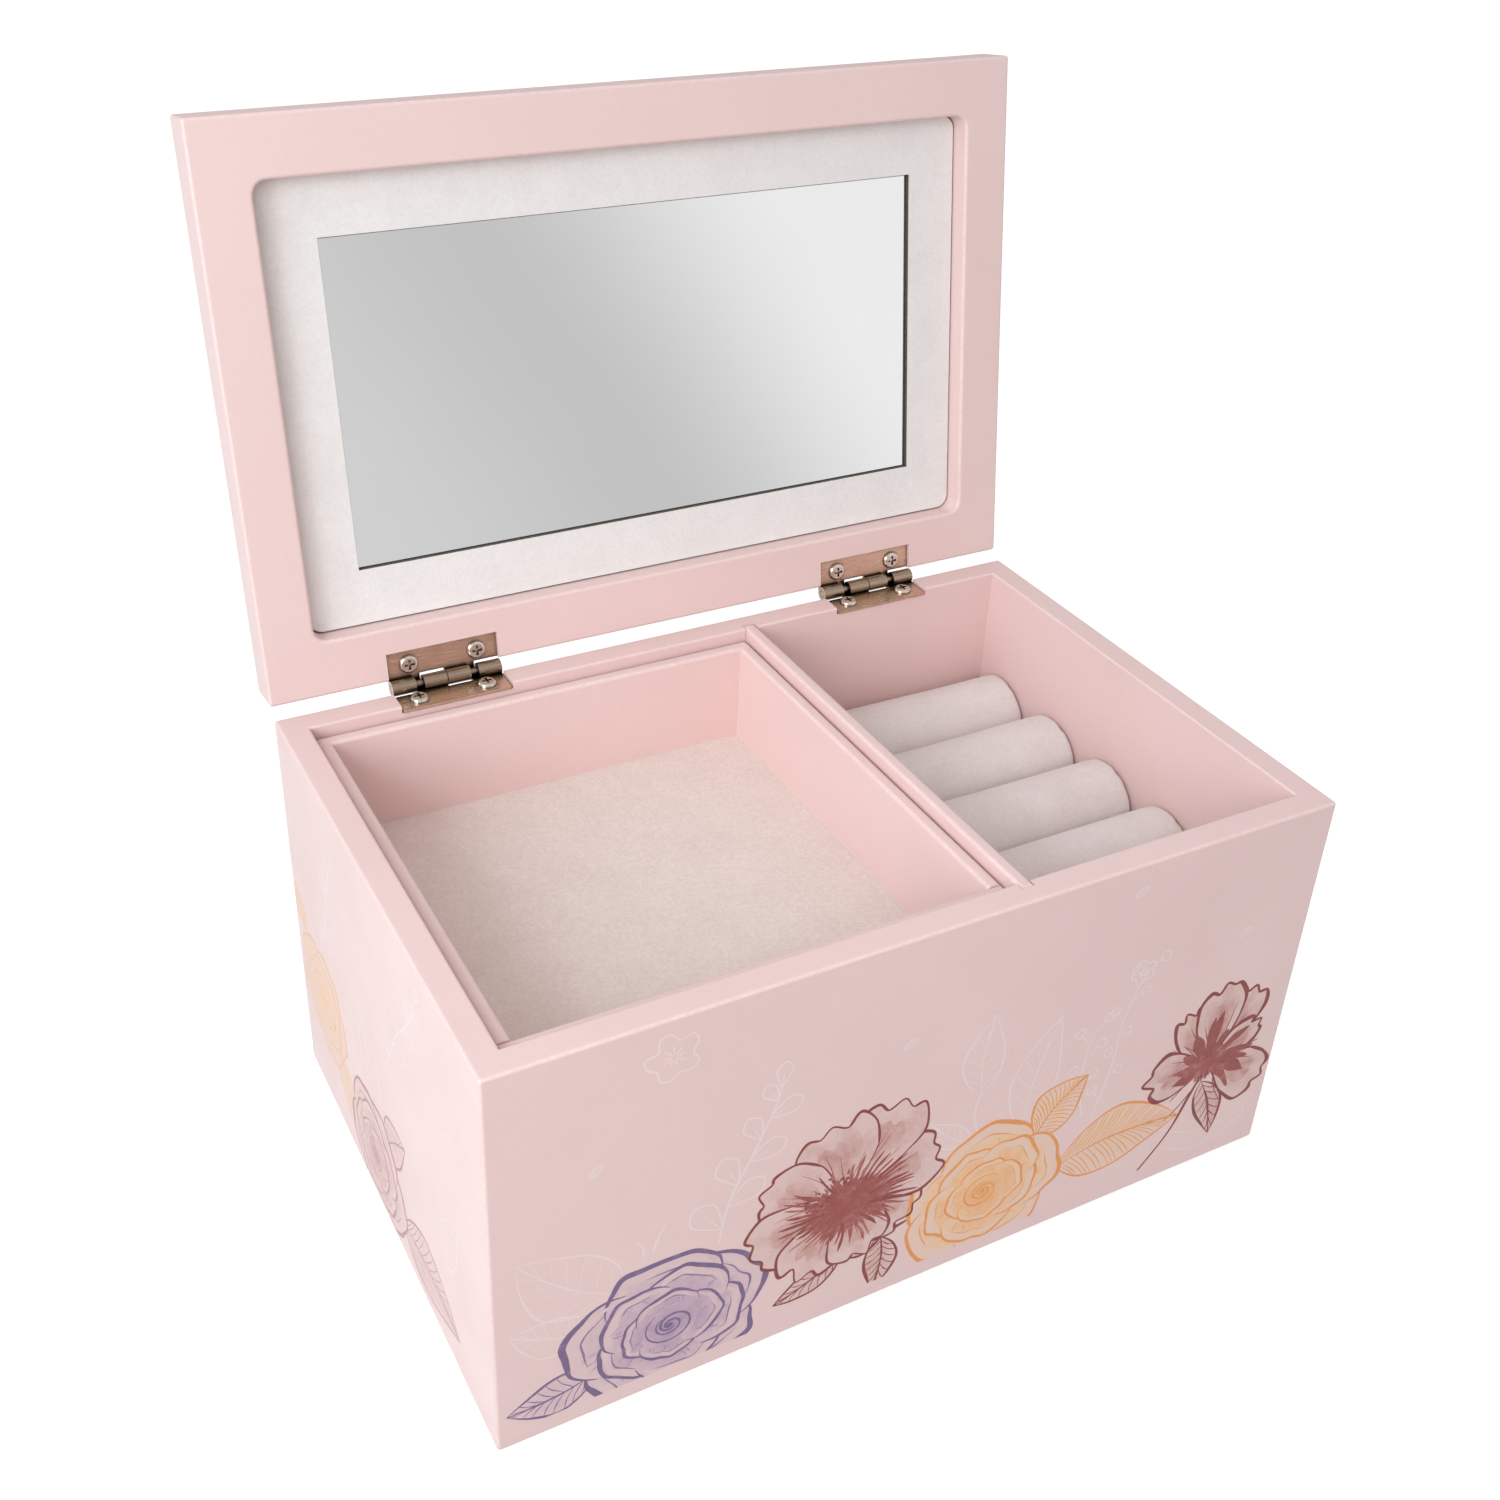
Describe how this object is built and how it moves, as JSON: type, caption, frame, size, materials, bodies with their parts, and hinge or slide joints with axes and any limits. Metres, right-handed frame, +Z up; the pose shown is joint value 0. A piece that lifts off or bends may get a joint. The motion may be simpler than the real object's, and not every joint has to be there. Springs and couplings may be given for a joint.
{
  "type": "jewellery box",
  "caption": "Small painted jewellery box with a hinged mirror lid, a lift-out tray beside a ring-roll compartment, on a felt base.",
  "frame": {"origin": "under the middle of the case, on the surface the felt rests on", "axes": "+Z up, +X along the case's width, +Y towards the hinges at the back; the lid is open against its stop at rest"},
  "size_m": [0.188, 0.1504, 0.216],
  "materials": {
    "painted_board": "satin",
    "print_ink": "satin",
    "lining_flock": "matte",
    "ring_roll_flock": "matte",
    "base_felt": "matte",
    "surround_card": "matte",
    "mirror_glass": "polished",
    "hinge_nickel": "satin",
    "hinge_screws": "satin"
  },
  "bodies": {
    "case": {"front_panel": "painted_board", "back_panel": "painted_board", "left_panel": "painted_board", "right_panel": "painted_board", "base_panel": "painted_board", "base_felt": "base_felt", "divider": "painted_board", "compartment_lining": "lining_flock", "tray_ledge_left": "painted_board", "tray_ledge_right": "painted_board", "ring_shelf": "painted_board", "ring_shelf_ledge_left": "painted_board", "ring_shelf_ledge_right": "painted_board", "ring_roll_1": "ring_roll_flock", "ring_roll_2": "ring_roll_flock", "ring_roll_3": "ring_roll_flock", "ring_roll_4": "ring_roll_flock", "ring_roll_5": "ring_roll_flock", "hinge_left_case_leaf": "hinge_nickel", "hinge_left_pin": "hinge_nickel", "hinge_left_case_screws": "hinge_screws", "hinge_right_case_leaf": "hinge_nickel", "hinge_right_pin": "hinge_nickel", "hinge_right_case_screws": "hinge_screws"},
    "lid": {"lid_frame": "painted_board", "lid_top_panel": "painted_board", "mirror_surround": "surround_card", "mirror_glass": "mirror_glass", "hinge_left_lid_leaf": "hinge_nickel", "hinge_left_lid_screws": "hinge_screws", "hinge_right_lid_leaf": "hinge_nickel", "hinge_right_lid_screws": "hinge_screws"},
    "tray": {"tray_front": "painted_board", "tray_back": "painted_board", "tray_left": "painted_board", "tray_right": "painted_board", "tray_floor": "painted_board", "tray_lining": "lining_flock"}
  },
  "joints": [
    {"name": "lid_hinge", "type": "hinge", "parent": "case", "child": "lid", "pos_m": [0, 0.0622, 0.09575], "axis": [1, 0, 0], "range_deg": [0, 98.4]},
    {"name": "tray_lift", "type": "slide", "parent": "case", "child": "tray", "axis": [0, 0, 1], "range_m": [0, 0.06]}
  ]
}
